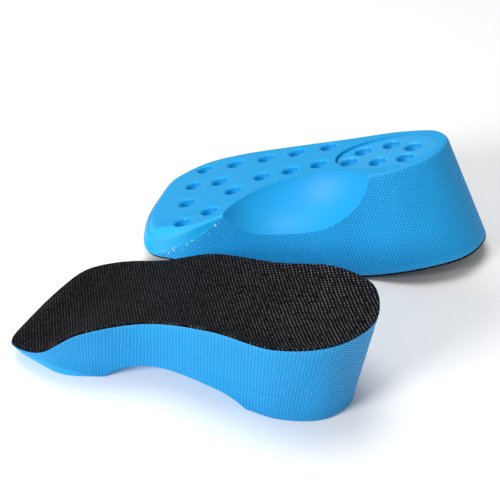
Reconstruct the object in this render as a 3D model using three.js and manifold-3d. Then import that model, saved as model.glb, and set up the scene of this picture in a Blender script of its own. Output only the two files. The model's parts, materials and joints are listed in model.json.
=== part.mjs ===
// A pair of cushioned three-quarter insoles with a raised heel, in millimetres, +Z up.
//
// Each insole is a moulded foam body, a thin woven cover bonded to its cupped upper face, and a softer
// heel pad set into a recess of its sole. The right insole stands on its sole, toe towards -X and arch side
// towards -Y. The left insole is its mirror image but for a deeper arch hollow. It lies upside down behind
// it, resting on its own rim.
import * as THREE from "three";
import { ConvexHull } from "three/addons/math/ConvexHull.js";
import { mergeVertices } from "three/addons/utils/BufferGeometryUtils.js";
import Module from "manifold-3d";

// ---- Driving dimensions -------------------------------------------------------------------------------

const LENGTH = 170; // heel tip to toe tip
const HEEL_WIDTH = 60; // across the rim of the round heel
const OUTER_FOREFOOT = 42.5; // reach of the rim from the middle line to the outer side, under the toes
const INNER_FOREFOOT = 40; // the same to the inner side
const INNER_WAIST = 26.5; // reach of the rim to the inner side, beside the arch
const HEEL_HEIGHT = 58.5; // floor to rim at the heel
const TOE_THICKNESS = 4; // floor to rim at the toe
const CUP_DEPTH = 9; // how far the middle of the heel lies below its rim
const CUP_SHARPNESS = 3; // how late the upper face turns up towards the rim: 2 is a dish, 5 a tray

const WALL_LEAN = 0.14; // how much the side wall leans out for each millimetre of height
const ARCH_LEAN = 0.07; // the same beside the arch, where the wall stands steeper
const TOE_BEVEL = 4; // extra width of the slanting wall round the toe
const SOLE_EDGE = 1.2; // rounding of the edge between sole and wall

const COVER_THICKNESS = 1;
const BOND_GAP = 0.3; // glue line between two bonded pieces

const HOLE_RADIUS = 4.2; // cushioning holes in the foam's sole
const HOLE_DEPTH = 5.5;
const HOLE_ROOF = 1.6; // least foam left above a hole
const PAD_HOLE_RADIUS = 4.4; // cushioning holes in the heel pad
const HOLE_LIP = 0.8; // bevel round the mouth of each hole

const PAD_LENGTH = 54; // the oval heel pad
const PAD_BORDER = 4.7; // foam left beside the pad and behind it, on the sole
const PAD_THICKNESS = 8;
const PAD_STEP = 1.2; // how far the pad's face lies inside the sole
const PAD_TURN = THREE.MathUtils.degToRad(-12); // turn of the pad's long axis

// The arch is hollowed by an ellipsoid. It is ground by hand, and the left one goes deeper.
const ARCH_REACH = new THREE.Vector3(39.2, 33.5, 22); // its half axes
const LEFT_ARCH_REACH = new THREE.Vector3(41, 31.5, 32);
const ARCH_OUTSET = 9; // how far its middle lies outside the rim of the waist
const ARCH_SINK = 7.2; // how far its middle lies below the sole

const PAIR_TUCK = 3.4; // how much closer the insoles lie than their square corners would let them
const LEFT_SHIFT = 11.3; // how much further towards +X the left insole lies
const LEFT_HEADING = THREE.MathUtils.degToRad(18.3); // its turn about the vertical

const RIM_POINTS = 72; // facets round the outline
const CUP_RINGS = [0.93, 0.82, 0.68, 0.5, 0.27]; // rings of the upper face, as shares of the way out
const HOLE_SIDES = 16;

// ---- Places worked out from them ----------------------------------------------------------------------

const MIDDLE = new THREE.Vector2(-LENGTH / 2, 0); // every ring is drawn round this point
const FOAM_DROP = COVER_THICKNESS + BOND_GAP; // foam surface below the cover's upper face
const RISE = HEEL_HEIGHT - TOE_THICKNESS;
const HEEL_RADIUS = HEEL_WIDTH / 2;
const PAD_INSET = WALL_LEAN * HEEL_HEIGHT + PAD_BORDER; // from the rim of the heel to the pad
const PAD_WIDTH = HEEL_WIDTH - 2 * PAD_INSET;
const PAD_CENTRE = new THREE.Vector2(-(PAD_INSET + PAD_LENGTH / 2), 0.03 * HEEL_WIDTH);
const ARCH_CENTRE = new THREE.Vector3(-0.496 * LENGTH, -(INNER_WAIST + ARCH_OUTSET), -ARCH_SINK);
const FLOOR_SIDE = new THREE.Vector3(0, 0, -1);

// The rim from the heel tip along the outer side, round the toe and back along the inner side. Each point
// gives its share of the length, its reach across and its share of the rise from toe to heel.
const RIM = [
  [0, 0, 1],
  [0.042, 0.64 * HEEL_RADIUS, 0.995],
  [0.165, 0.98 * HEEL_RADIUS, 0.91],
  [0.34, 0.8 * OUTER_FOREFOOT, 0.695],
  [0.55, 0.94 * OUTER_FOREFOOT, 0.48],
  [0.72, OUTER_FOREFOOT, 0.18],
  [0.87, 0.95 * OUTER_FOREFOOT, 0.035],
  [0.953, 0.72 * OUTER_FOREFOOT, 0],
  [0.985, 0.29 * OUTER_FOREFOOT, 0],
  [1, -0.36 * INNER_FOREFOOT, 0],
  [0.981, -0.85 * INNER_FOREFOOT, 0.12],
  [0.865, -INNER_FOREFOOT, 0.25],
  [0.74, -0.91 * INNER_FOREFOOT, 0.56],
  [0.573, -INNER_WAIST, 0.72],
  [0.385, -1.06 * INNER_WAIST, 0.89],
  [0.2, -0.98 * HEEL_RADIUS, 0.93],
  [0.058, -0.64 * HEEL_RADIUS, 0.985],
];

// Cushioning holes of the forefoot and waist, in straight rows from the toe towards the heel. Each end of a
// row is a share of the length and a share of the forefoot's reach to that side.
const SOLE_HOLE_ROWS = [
  { from: [0.831, 0.727], to: [0.418, 0.567], count: 5 },
  { from: [0.856, 0.315], to: [0.767, 0.26], count: 2 },
  { from: [0.625, 0.135], to: [0.444, 0.125], count: 3 },
  { from: [0.86, -0.16], to: [0.712, -0.09], count: 2 },
  { from: [0.855, -0.69], to: [0.775, -0.54], count: 2 },
];

// Cushioning holes of the heel pad, as shares of its half length and half width from its centre.
const PAD_HOLES = [
  [-0.73, 0.03],
  [-0.17, -0.45],
  [0.355, -0.65],
  [-0.45, 0.52],
  [0.1, 0.46],
  [0.52, -0.05],
];

// ---- Materials ----------------------------------------------------------------------------------------

const foam = () => new THREE.MeshStandardMaterial({ color: 0x1f9be8, roughness: 0.62, metalness: 0 });
const pad = () => new THREE.MeshStandardMaterial({ color: 0x2ba6f0, roughness: 0.5, metalness: 0 });
const wovenCover = () => new THREE.MeshStandardMaterial({ color: 0x17171a, roughness: 0.9, metalness: 0 });

// ---- Solids -------------------------------------------------------------------------------------------

const wasm = await Module();
wasm.setup();

// A closed geometry as a solid that can be cut.
function solidOf(geometry) {
  const bare = new THREE.BufferGeometry();
  bare.setAttribute("position", geometry.getAttribute("position"));
  bare.setIndex(geometry.getIndex());
  const merged = mergeVertices(bare, 1e-4);
  return new wasm.Manifold(
    new wasm.Mesh({
      numProp: 3,
      vertProperties: merged.getAttribute("position").array,
      triVerts: new Uint32Array(merged.getIndex().array),
    }),
  );
}

// A solid as a geometry with flat-shaded faces.
function geometryOf(solid) {
  const mesh = solid.getMesh();
  const geometry = new THREE.BufferGeometry();
  geometry.setAttribute("position", new THREE.BufferAttribute(mesh.vertProperties, 3));
  geometry.setIndex(new THREE.BufferAttribute(mesh.triVerts, 1));
  return geometry;
}

// A closed skin over rings that run anticlockwise, from a first point out and up to a last point. Each
// four-sided facet is split along its shorter diagonal, so that two skins over the same rings agree.
function skinOver(first, rings, last) {
  const count = rings[0].length;
  const points = [first, ...rings.flat(), last];
  const end = points.length - 1;
  const faces = [];
  for (let i = 0; i < count; i += 1) {
    const next = (i + 1) % count;
    faces.push(0, 1 + next, 1 + i);
    for (let ring = 0; ring < rings.length - 1; ring += 1) {
      const [a, b] = [1 + ring * count + i, 1 + ring * count + next];
      const [c, d] = [b + count, a + count];
      const split = points[a].distanceTo(points[c]) < points[b].distanceTo(points[d]);
      faces.push(...(split ? [a, b, c, a, c, d] : [a, b, d, b, c, d]));
    }
    faces.push(end, end - count + i, end - count + next);
  }
  const geometry = new THREE.BufferGeometry().setFromPoints(points);
  geometry.setIndex(faces);
  return geometry;
}

// ---- The rim and the surfaces that hang on it ---------------------------------------------------------

function rimPoints() {
  const knots = RIM.map(([along, across, up]) => {
    return new THREE.Vector3(-along * LENGTH, across, TOE_THICKNESS + up * RISE);
  });
  const curve = new THREE.CatmullRomCurve3(knots, true, "centripetal");
  return curve.getSpacedPoints(RIM_POINTS).slice(0, RIM_POINTS);
}

const rim = rimPoints();

// The rim's direction towards the inside of the outline, level with the floor, at point i.
function inwards(i) {
  const before = rim[(i + RIM_POINTS - 1) % RIM_POINTS];
  const after = rim[(i + 1) % RIM_POINTS];
  return new THREE.Vector3(before.y - after.y, after.x - before.x, 0).normalize();
}

// Foot of the wall, on the floor below rim point i: the wall leans out, more so round the toe, less so
// beside the arch.
const wallFoot = rim.map((point, i) => {
  const toe = THREE.MathUtils.smoothstep(-point.x, 0.76 * LENGTH, 0.94 * LENGTH);
  const alongArch = Math.min(Math.abs(point.x - ARCH_CENTRE.x) / ARCH_REACH.x, 1);
  const beside = point.y < 0 ? Math.cos((alongArch * Math.PI) / 2) ** 2 : 0;
  const inset = THREE.MathUtils.lerp(WALL_LEAN, ARCH_LEAN, beside) * point.z + TOE_BEVEL * toe;
  return point.clone().setZ(0).addScaledVector(inwards(i), inset);
});

// The wall's ring at the given height, or at each rim point's own height less the given drop.
function wallRing(height) {
  return rim.map((point, i) => wallFoot[i].clone().lerp(point, height / point.z));
}

function rimRing(drop) {
  return rim.map((point, i) => wallFoot[i].clone().lerp(point, 1 - drop / point.z));
}

// Point of the rim on one side (+1 outer, -1 inner) at x.
function sideOfRim(side, x) {
  const points = rim.filter((point) => Math.sign(point.y - MIDDLE.y) === side);
  points.sort((a, b) => a.x - b.x);
  const next = THREE.MathUtils.clamp(points.findIndex((point) => point.x >= x), 1, points.length - 1);
  const low = points[next - 1];
  const high = points[next];
  return low.clone().lerp(high, THREE.MathUtils.clamp((x - low.x) / (high.x - low.x), 0, 1));
}

// How far the upper face lies below a straight line from side to side, along the middle line at x.
function cupSink(x) {
  const share = THREE.MathUtils.clamp(-x / LENGTH, 0, 1);
  return CUP_DEPTH * Math.cos((share * Math.PI) / 2) ** 0.7;
}

// Point of the upper face on the way from the middle (share 0) to an outline point (share 1), lowered by
// the drop. Across, the face runs straight from one side's height to the other's, and sinks to the cup.
function cupPoint(edge, share, drop) {
  const x = THREE.MathUtils.lerp(MIDDLE.x, edge.x, share);
  const y = THREE.MathUtils.lerp(MIDDLE.y, edge.y, share);
  const inner = sideOfRim(-1, x);
  const outer = sideOfRim(1, x);
  const level = THREE.MathUtils.mapLinear(y, inner.y, outer.y, inner.z, outer.z);
  return new THREE.Vector3(x, y, level - cupSink(x) * (1 - share ** CUP_SHARPNESS) - drop);
}

// Rings of the upper face from the rim inwards, lowered by the drop, without the rim itself.
function cupRings(drop) {
  return CUP_RINGS.map((share) => rim.map((point) => cupPoint(point, share, drop)));
}

function cupMiddle(drop) {
  return cupPoint(rim[0], 0, drop);
}

// Height of the foam's upper face above a point of the sole.
function foamHeight(x, y) {
  const ray = new THREE.Vector2(x, y).sub(MIDDLE);
  const turnTo = (point) => {
    const turn = Math.atan2(point.y - MIDDLE.y, point.x - MIDDLE.x) - ray.angle();
    return Math.abs(Math.atan2(Math.sin(turn), Math.cos(turn)));
  };
  const edge = rim.reduce((best, point) => (turnTo(point) < turnTo(best) ? point : best));
  const share = ray.length() / Math.hypot(edge.x - MIDDLE.x, edge.y - MIDDLE.y);
  return cupPoint(edge, share, FOAM_DROP).z;
}

// ---- Cutters ------------------------------------------------------------------------------------------

// A blind hole that opens downwards at the given level, with a bevelled mouth and a rounded end.
function holeCutter(radius, x, y, level, depth) {
  const profile = [
    new THREE.Vector2(0, -1),
    new THREE.Vector2(radius + HOLE_LIP, -1),
    new THREE.Vector2(radius + HOLE_LIP, 0),
    new THREE.Vector2(radius, HOLE_LIP),
    new THREE.Vector2(0.94 * radius, depth - 1),
    new THREE.Vector2(0.7 * radius, depth),
    new THREE.Vector2(0, depth),
  ];
  const cutter = new THREE.LatheGeometry(profile, HOLE_SIDES);
  cutter.rotateX(Math.PI / 2);
  cutter.translate(x, y, level);
  return solidOf(cutter);
}

// An upright oval block round the pad's centre, inset from the recess by the gap.
function padBlock(gap, bottom, top) {
  const outline = new THREE.EllipseCurve(0, 0, PAD_LENGTH / 2 - gap, PAD_WIDTH / 2 - gap);
  const shape = new THREE.Shape(outline.getPoints(48));
  const block = new THREE.ExtrudeGeometry(shape, { depth: top - bottom, bevelEnabled: false });
  block.rotateZ(PAD_TURN);
  block.translate(PAD_CENTRE.x, PAD_CENTRE.y, bottom);
  return solidOf(block);
}

function archCutter(reach) {
  const ball = new THREE.SphereGeometry(1, 40, 24);
  ball.scale(reach.x, reach.y, reach.z);
  ball.translate(ARCH_CENTRE.x, ARCH_CENTRE.y, ARCH_CENTRE.z);
  return solidOf(ball);
}

// ---- Sub-parts of one insole --------------------------------------------------------------------------

// Centres of the sole's holes.
function soleHoles() {
  return SOLE_HOLE_ROWS.flatMap(({ from, to, count }) => {
    return Array.from({ length: count }, (_, i) => {
      const along = THREE.MathUtils.lerp(from[0], to[0], i / (count - 1));
      const across = THREE.MathUtils.lerp(from[1], to[1], i / (count - 1));
      return new THREE.Vector2(-along * LENGTH, across * (across > 0 ? OUTER_FOREFOOT : INNER_FOREFOOT));
    });
  });
}

function foamBody(archReach) {
  const sole = wallRing(0).map((point, i) => point.addScaledVector(inwards(i), SOLE_EDGE));
  const rings = [sole, wallRing(SOLE_EDGE), rimRing(FOAM_DROP), ...cupRings(FOAM_DROP)];
  const middle = new THREE.Vector3(MIDDLE.x, MIDDLE.y, 0);
  let body = solidOf(skinOver(middle, rings, cupMiddle(FOAM_DROP)));
  for (const { x, y } of soleHoles()) {
    const depth = Math.min(HOLE_DEPTH, foamHeight(x, y) - HOLE_ROOF);
    body = body.subtract(holeCutter(HOLE_RADIUS, x, y, 0, depth));
  }
  const recessTop = PAD_STEP + PAD_THICKNESS + BOND_GAP;
  return geometryOf(body.subtract(archCutter(archReach)).subtract(padBlock(0, -1, recessTop)));
}

function topCover() {
  const under = [rimRing(COVER_THICKNESS), ...cupRings(COVER_THICKNESS)].reverse();
  const over = [rimRing(0), ...cupRings(0)];
  return skinOver(cupMiddle(COVER_THICKNESS), [...under, ...over], cupMiddle(0));
}

function heelPad() {
  let block = padBlock(BOND_GAP, PAD_STEP, PAD_STEP + PAD_THICKNESS);
  for (const [along, across] of PAD_HOLES) {
    const x = PAD_CENTRE.x + (along * PAD_LENGTH) / 2;
    const y = PAD_CENTRE.y + (across * PAD_WIDTH) / 2;
    block = block.subtract(holeCutter(PAD_HOLE_RADIUS, x, y, PAD_STEP, HOLE_DEPTH));
  }
  return geometryOf(block);
}

// The same geometry for the other foot: mirrored across the middle line, with its faces turned back out.
function mirrored(geometry) {
  const copy = geometry.clone().scale(1, -1, 1);
  const faces = copy.getIndex().array;
  for (let i = 0; i < faces.length; i += 3) {
    [faces[i + 1], faces[i + 2]] = [faces[i + 2], faces[i + 1]];
  }
  return copy;
}

function insole(foot, archReach, shapeFor) {
  const group = new THREE.Group();
  const pieces = [
    ["foam_body", () => foamBody(archReach), foam],
    ["top_cover", topCover, wovenCover],
    ["heel_pad", heelPad, pad],
  ];
  for (const [name, shape, material] of pieces) {
    const geometry = shapeFor(shape());
    geometry.computeVertexNormals();
    const mesh = new THREE.Mesh(geometry, material());
    mesh.name = `${foot}_${name}`;
    group.add(mesh);
  }
  return group;
}

// ---- The pair -----------------------------------------------------------------------------------------

// Vertices of a geometry.
function verticesOf(geometry) {
  const places = geometry.getAttribute("position");
  return Array.from({ length: places.count }, (_, i) => new THREE.Vector3().fromBufferAttribute(places, i));
}

// Centre of mass of a closed geometry, summed over the wedges between its faces and the origin.
function centreOfMass(geometry) {
  const points = verticesOf(geometry);
  const faces = geometry.getIndex().array;
  const moment = new THREE.Vector3();
  let volume = 0;
  for (let i = 0; i < faces.length; i += 3) {
    const [a, b, c] = [points[faces[i]], points[faces[i + 1]], points[faces[i + 2]]];
    const wedge = a.dot(new THREE.Vector3().crossVectors(b, c)) / 6;
    moment.add(new THREE.Vector3().add(a).add(b).add(c).multiplyScalar(wedge / 4));
    volume += wedge;
  }
  return moment.divideScalar(volume);
}

// Outward direction, in the insole's own frame, that points at the floor when the insole lies on its rim:
// square to the most level facet of its hull that its centre of mass stands over.
function restingDown(group) {
  const centre = centreOfMass(group.children[0].geometry);
  const hull = new ConvexHull().setFromPoints(group.children.flatMap((mesh) => verticesOf(mesh.geometry)));
  const under = hull.faces.filter(({ edge, normal }) => {
    const corners = [edge.prev.head().point, edge.head().point, edge.next.head().point];
    return new THREE.Ray(centre, normal).intersectTriangle(...corners, false, new THREE.Vector3());
  });
  return under.reduce((best, face) => (face.normal.z > best.normal.z ? face : best)).normal.clone();
}

const rightInsole = insole("right", ARCH_REACH, (geometry) => geometry);

const leftInsole = insole("left", LEFT_ARCH_REACH, mirrored);
const overturned = new THREE.Quaternion().setFromAxisAngle(new THREE.Vector3(1, 0, 0), Math.PI);
const down = restingDown(leftInsole).applyQuaternion(overturned);
const settled = new THREE.Quaternion().setFromUnitVectors(down, FLOOR_SIDE);
const heading = new THREE.Quaternion().setFromAxisAngle(new THREE.Vector3(0, 0, 1), LEFT_HEADING);
for (const mesh of leftInsole.children) mesh.position.set(LENGTH / 2, 0, 0);
leftInsole.quaternion.copy(heading).multiply(settled).multiply(overturned);
const toeSwing = (LENGTH / 2) * Math.sin(LEFT_HEADING);
const spacing = OUTER_FOREFOOT + INNER_FOREFOOT + toeSwing - PAIR_TUCK;
leftInsole.position.set(LEFT_SHIFT - LENGTH / 2, spacing, 0);
leftInsole.position.z = -new THREE.Box3().setFromObject(leftInsole, true).min.z;

// The origin is the middle of the pair's footprint, on the floor.
const pair = new THREE.Group();
pair.add(rightInsole, leftInsole);
const footprint = new THREE.Box3().setFromObject(pair, true).getCenter(new THREE.Vector3());
pair.position.set(-footprint.x, -footprint.y, 0);

export default pair;
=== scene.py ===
"""A pair of cushioned three-quarter insoles with a raised heel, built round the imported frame.

Each insole is a moulded foam body with a canvas relief on its wall, a softer heel pad let into its sole,
and a woven cover bonded to its cupped upper face. Everything is in metres, in the frame's own axes.
"""

import json
import math

import bpy
import numpy as np
from bpy.props import FloatProperty
from bpy.props import FloatVectorProperty
from bpy.props import IntProperty
from bpy.props import PointerProperty
from mathutils import Matrix
from mathutils import Vector
from mathutils.kdtree import KDTree


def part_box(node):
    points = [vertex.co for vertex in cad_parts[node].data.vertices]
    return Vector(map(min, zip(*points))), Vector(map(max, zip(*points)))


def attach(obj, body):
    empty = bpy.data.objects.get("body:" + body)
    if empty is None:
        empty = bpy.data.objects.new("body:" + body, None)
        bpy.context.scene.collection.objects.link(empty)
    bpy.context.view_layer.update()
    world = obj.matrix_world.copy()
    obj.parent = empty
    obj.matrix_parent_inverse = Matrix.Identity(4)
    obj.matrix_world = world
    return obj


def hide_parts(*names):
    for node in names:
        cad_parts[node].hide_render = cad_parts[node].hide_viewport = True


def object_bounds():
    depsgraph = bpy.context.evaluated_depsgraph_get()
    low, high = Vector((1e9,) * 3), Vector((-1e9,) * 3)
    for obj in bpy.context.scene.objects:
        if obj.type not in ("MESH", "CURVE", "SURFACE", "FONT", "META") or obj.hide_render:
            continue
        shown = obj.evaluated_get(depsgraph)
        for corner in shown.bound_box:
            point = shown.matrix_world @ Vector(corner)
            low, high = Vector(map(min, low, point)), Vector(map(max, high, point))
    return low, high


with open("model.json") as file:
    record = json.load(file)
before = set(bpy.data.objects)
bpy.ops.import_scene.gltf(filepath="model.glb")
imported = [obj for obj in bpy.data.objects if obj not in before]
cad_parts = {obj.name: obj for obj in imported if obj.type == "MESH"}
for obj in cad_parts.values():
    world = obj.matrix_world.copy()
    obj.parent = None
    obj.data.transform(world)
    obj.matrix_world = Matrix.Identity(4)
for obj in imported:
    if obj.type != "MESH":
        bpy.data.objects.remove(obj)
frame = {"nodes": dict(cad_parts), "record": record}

bl_info = {
    "name": "Cushioned insoles",
    "version": (1, 0, 0),
    "blender": (4, 5, 0),
    "location": "View3D > Sidebar > Insoles",
    "description": "Builds a pair of cushioned insoles with their covers and heel pads",
    "category": "Object",
}

FEET = ("right", "left")
CAD_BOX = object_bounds()
RIGHT_COVER_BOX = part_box("right_top_cover")
COVER_LENGTH = RIGHT_COVER_BOX[1].x - RIGHT_COVER_BOX[0].x
COVER_TOP = RIGHT_COVER_BOX[1].z
SOLE_SPOTS = {mount["name"].split("_")[0]: mount["pos_m"] for mount in frame["record"]["mounts"]}

# The rim from the heel tip along the outer side, round the toe and back along the inner side. Each point
# gives its share of the length, its reach across, which part of the foot that reach is a share of, and
# its share of the rise from toe to heel.
RIM_KNOTS = (
    (0.0, 0.0, "heel", 1.0),
    (0.042, 0.64, "heel", 0.995),
    (0.165, 0.98, "heel", 0.91),
    (0.34, 0.8, "outer", 0.695),
    (0.55, 0.94, "outer", 0.48),
    (0.72, 1.0, "outer", 0.18),
    (0.87, 0.95, "outer", 0.035),
    (0.953, 0.72, "outer", 0.0),
    (0.985, 0.29, "outer", 0.0),
    (1.0, -0.36, "inner", 0.0),
    (0.981, -0.85, "inner", 0.12),
    (0.865, -1.0, "inner", 0.25),
    (0.74, -0.91, "inner", 0.56),
    (0.573, -1.0, "waist", 0.72),
    (0.385, -1.06, "waist", 0.89),
    (0.2, -0.98, "heel", 0.93),
    (0.058, -0.64, "heel", 0.985),
)

# Rows of cushioning holes from the toe towards the heel: both ends as shares of the length and of the
# forefoot's reach to that side, and how many holes.
HOLE_ROWS = (
    ((0.831, 0.727), (0.418, 0.567), 5),
    ((0.856, 0.315), (0.767, 0.26), 2),
    ((0.625, 0.135), (0.444, 0.125), 3),
    ((0.86, -0.16), (0.712, -0.09), 2),
    ((0.855, -0.69), (0.775, -0.54), 2),
)

# Waves of the canvas print and of the woven cover: how many in a metre of each of the two coordinates of
# the surface, and how strong.
CANVAS_WAVES = ((620, -60, 0.13), (430, 590, 0.24), (-190, 650, 0.1))
WEAVE_WAVES = ((600, 385, 0.26), (600, -385, 0.18), (0, 770, 0.05))

# Cushioning holes of the heel pad, as shares of its half length and half width from its centre.
PAD_HOLES = (
    (-0.73, 0.03),
    (-0.17, -0.45),
    (0.355, -0.65),
    (-0.45, 0.52),
    (0.1, 0.46),
    (0.52, -0.05),
)

# Rings of the skins, as shares of the way from the middle to the edge: the upper face from its rim
# inwards, the sole and the pad's face outwards.
CUP_SHARES = (0.985, 0.96, 0.93, 0.895, 0.855, 0.81, 0.76, 0.7, 0.63, 0.55, 0.46, 0.36, 0.25, 0.13)
SOLE_SHARES = (0.2, 0.4, 0.55, 0.68, 0.79, 0.87, 0.93, 0.97, 1.0)
PAD_SHARES = (0.25, 0.5, 0.7, 0.85)

# The cover's edge: shares of its thickness, and how far the skin lies inside the rim there, in metres.
COVER_EDGE = ((0.0, 0.00028), (0.12, 0.00008), (0.35, 0.0), (0.65, 0.0), (0.88, 0.00008), (1.0, 0.00028))

# How finely the skins are divided.
RIM_POINTS = 288
OVAL_POINTS = 96
ARCH_POINTS = 128
ARCH_LEVELS = 64
SOLE_EDGE_STEPS = 8
PAD_EDGE_STEPS = 5
WALL_ROWS = 28

# The material slots of the foam.
WALL_SLOT = 0
SKIN_SLOT = 1
SCOOP_SLOT = 2

# Where the canvas print ends, as shares of the length: along the sole, and how much further at the rim.
PRINT_END = 0.7
PRINT_SLANT = 0.28

# Between these shares of the length the toe's bevel and its softer edge set in. An edge is never rounder
# than this share of the foam's thickness there.
TOE_SHARES = (0.76, 0.94)
EDGE_LIMIT = 0.65

# How far the cover and its cut yarn ends lie inside the rim, and how much more round the toe, in metres.
CLOTH_TUCK = 0.0002
YARN_TUCK = 0.0005
TOE_TUCK = 0.0007

SCUFF_STRENGTHS = {"right": 0.1, "left": 0.75}
FOAM_SHEEN = 0.25
PAD_OUTWARDS = 0.03
CUT_MARGIN = 0.001
MIRROR_TOLERANCE = 5e-5
FLOOR_REACH = 12

# Each light's name, place from the middle of the pair, width and power.
LIGHTS = (
    ("key", (-0.55, -1.0, 0.58), 0.5, 14.0),
    ("fill", (0.9, -0.5, 0.5), 0.8, 0.2),
    ("top", (-0.2, 0.1, 1.2), 0.7, 8.0),
)
CIRCLE = 2 * math.pi


# ---- Sizes and colours ---------------------------------------------------------------------------------


class InsoleShapeSettings(bpy.types.PropertyGroup):
    """Sizes of one insole's moulded shape."""

    length: FloatProperty(
        name="Length", description="From the heel tip to the toe", default=COVER_LENGTH, unit="LENGTH"
    )
    heel_height: FloatProperty(
        name="Heel height", description="From the floor to the rim", default=COVER_TOP, unit="LENGTH"
    )
    heel_width: FloatProperty(
        name="Heel width", description="Across the rim of the heel", default=0.06, unit="LENGTH"
    )
    outer_reach: FloatProperty(
        name="Outer reach", description="Middle line to outer side", default=0.0425, unit="LENGTH"
    )
    inner_reach: FloatProperty(
        name="Inner reach", description="Middle line to inner side", default=0.04, unit="LENGTH"
    )
    waist_reach: FloatProperty(
        name="Waist reach", description="Middle line to the waist", default=0.0265, unit="LENGTH"
    )
    toe_thickness: FloatProperty(
        name="Toe thickness", description="From the floor to the rim", default=0.004, unit="LENGTH"
    )
    cup_depth: FloatProperty(
        name="Cup depth", description="Heel middle below its rim", default=0.009, unit="LENGTH"
    )
    wall_lean: FloatProperty(name="Wall lean", description="Lean for each metre of height", default=0.14)
    arch_lean: FloatProperty(name="Arch lean", description="The same beside the arch", default=0.07)
    toe_bevel: FloatProperty(
        name="Toe bevel", description="Extra slant round the toe", default=0.004, unit="LENGTH"
    )
    arch_place: FloatProperty(name="Arch place", description="Share of the length", default=0.496)
    arch_outset: FloatProperty(
        name="Arch outset", description="Middle beyond the waist's rim", default=0.009, unit="LENGTH"
    )
    arch_sink: FloatProperty(
        name="Arch sink", description="Middle below the sole", default=0.0072, unit="LENGTH"
    )
    arch_reach: FloatVectorProperty(
        name="Arch reach", description="Half axes of the right hollow", subtype="XYZ_LENGTH", size=3,
        default=(0.0392, 0.0335, 0.022)
    )
    left_arch_reach: FloatVectorProperty(
        name="Left arch reach", description="Half axes of the left hollow", subtype="XYZ_LENGTH", size=3,
        default=(0.041, 0.0315, 0.032)
    )
    sole_edge: FloatProperty(
        name="Sole edge", description="Rounding between sole and wall", default=0.0014, unit="LENGTH"
    )
    toe_softness: FloatProperty(
        name="Toe softness", description="Extra rounding of the inner toe", default=0.0035, unit="LENGTH"
    )
    hole_radius: FloatProperty(
        name="Hole radius", description="Cushioning holes in the foam", default=0.0041, unit="LENGTH"
    )
    hole_depth: FloatProperty(
        name="Hole depth", description="Deepest cushioning hole", default=0.0055, unit="LENGTH"
    )
    hole_roof: FloatProperty(
        name="Hole roof", description="Least foam above a hole", default=0.0016, unit="LENGTH"
    )
    hole_lip: FloatProperty(
        name="Hole lip", description="Soft flare of each mouth", default=0.0015, unit="LENGTH"
    )


class FoamSettings(bpy.types.PropertyGroup):
    """Colours and relief of the foam."""

    # Painted highlight on the crowns of the canvas dots.
    crown_highlight_colour: FloatVectorProperty(
        name="Crown", description="Raised dots", subtype="COLOR", size=3, default=(0.01, 0.42, 0.82)
    )
    # Painted shade between the canvas dots; the fold line, the toe line and the bottom of the holes darken
    # towards it too.
    gap_shade_colour: FloatVectorProperty(
        name="Gap", description="Between the dots", subtype="COLOR", size=3, default=(0.0, 0.11, 0.4)
    )
    skin_colour: FloatVectorProperty(
        name="Skin", description="Smooth faces", subtype="COLOR", size=3, default=(0.008, 0.35, 0.74)
    )
    worn_colour: FloatVectorProperty(
        name="Worn", description="Rubbed edges", subtype="COLOR", size=3, default=(0.1, 0.5, 0.92)
    )
    scuff_colour: FloatVectorProperty(
        name="Scuff", description="Whitish marks", subtype="COLOR", size=3, default=(0.62, 0.82, 0.95)
    )
    # Painted highlight colour of the small glints on the sole.
    glint_colour: FloatVectorProperty(
        name="Glint", description="Specks of the sole", subtype="COLOR", size=3, default=(0.45, 0.75, 0.95)
    )
    scoop_colour: FloatVectorProperty(
        name="Scoop", description="Arch hollow", subtype="COLOR", size=3, default=(0.008, 0.35, 0.76)
    )
    relief_height: FloatProperty(
        name="Relief height", description="Height of the canvas dots", default=0.00045, unit="LENGTH"
    )
    right_relief: FloatProperty(name="Right relief", description="Strength of its print", default=0.8)
    left_relief: FloatProperty(name="Left relief", description="Strength of its print", default=0.68)


class PadSettings(bpy.types.PropertyGroup):
    """Sizes and colour of the heel pad."""

    length: FloatProperty(name="Length", description="Of the oval", default=0.054, unit="LENGTH")
    border: FloatProperty(name="Border", description="Foam beside it", default=0.0047, unit="LENGTH")
    thickness: FloatProperty(name="Thickness", description="Of the pad", default=0.008, unit="LENGTH")
    step: FloatProperty(name="Step", description="Inside the sole", default=0.0012, unit="LENGTH")
    gap: FloatProperty(name="Gap", description="Round the pad", default=0.0003, unit="LENGTH")
    turn: FloatProperty(
        name="Turn", description="Of the long axis", default=math.radians(-12), subtype="ANGLE"
    )
    hole_radius: FloatProperty(
        name="Hole radius", description="Cushioning holes", default=0.0043, unit="LENGTH"
    )
    colour: FloatVectorProperty(
        name="Colour", description="Of the pad", subtype="COLOR", size=3, default=(0.01, 0.37, 0.77)
    )


class CoverSettings(bpy.types.PropertyGroup):
    """Sizes and colours of the woven cover."""

    thickness: FloatProperty(name="Thickness", description="Of the cloth", default=0.001, unit="LENGTH")
    glue_line: FloatProperty(name="Glue line", description="Under it", default=0.0003, unit="LENGTH")
    ground_colour: FloatVectorProperty(
        name="Ground", description="Dark yarn", subtype="COLOR", size=3, default=(0.003, 0.003, 0.0045)
    )
    # Painted highlight colour of the yarn crowns; the cut yarn ends take a darker share of it.
    fleck_colour: FloatVectorProperty(
        name="Fleck", description="Crown of a yarn", subtype="COLOR", size=3, default=(0.15, 0.15, 0.16)
    )
    tuft_spacing: FloatProperty(
        name="Tuft spacing", description="Cut yarn ends", default=0.0016, unit="LENGTH"
    )
    tuft_sides: IntProperty(name="Tuft sides", description="Round each yarn end", default=6)


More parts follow.
